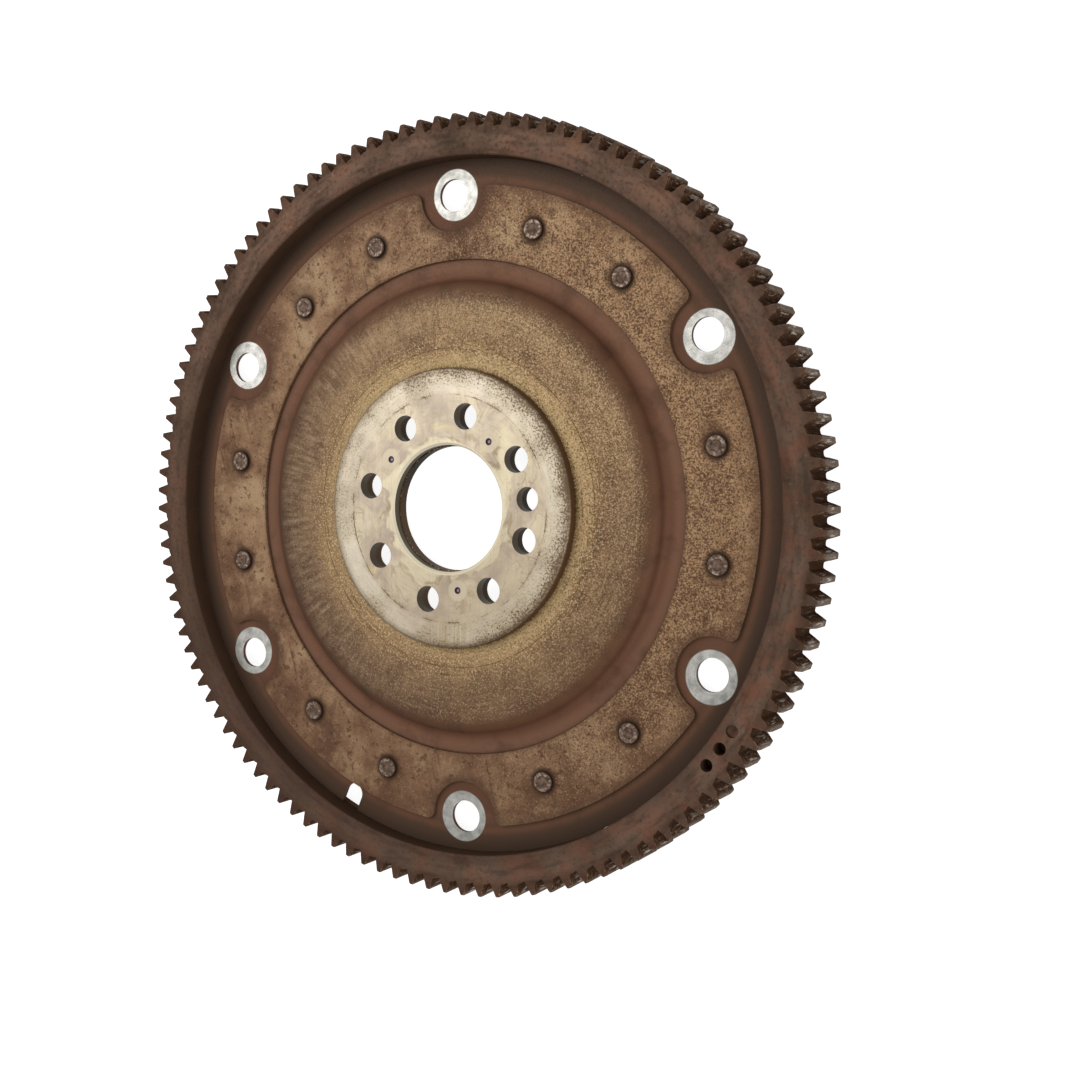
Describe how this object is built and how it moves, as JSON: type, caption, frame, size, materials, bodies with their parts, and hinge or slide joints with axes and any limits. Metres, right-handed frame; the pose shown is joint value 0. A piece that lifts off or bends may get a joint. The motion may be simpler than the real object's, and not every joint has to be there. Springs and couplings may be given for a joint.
{
  "type": "flexplate",
  "caption": "Used steel flexplate: a pressed disc with a starter ring gear on its rim, a riveted scalloped stiffening ring, a raised hub plate and holes for crankshaft and converter bolts.",
  "frame": {"origin": "on the disc's axis, in the plane of the ring gear's back face, which the part lies on", "axes": "+Z along the axis out of the engine side, +Y through one crank bolt hole, +X to the right of it seen from the engine side"},
  "size_m": [0.3048, 0.3048, 0.0175],
  "materials": {
    "gear_steel": "old steel under a thin brown rust film, grey on the tooth tips, bright specks where a pinion has worn the teeth",
    "disc_steel": "pressed sheet with khaki and red-brown stain, faint turning rings, bright rings where bolt flanges were clamped",
    "stiffener_steel": "tan stained sheet with dark rust pits and dirt in the scallops",
    "hub_steel": "bare pale steel with a yellow tint, stain edges round the bore and fine dark specks",
    "rivet_steel": "dull grey-brown heads with bright flecks on the rim and dirt round the foot"
  },
  "bodies": {
    "root": {"starter_ring_gear": "gear_steel", "flex_disc": "disc_steel", "reinforcement_ring": "stiffener_steel", "hub_plate": "hub_steel", "back_plate": "disc_steel", "rivets": "rivet_steel"}
  },
  "joints": []
}
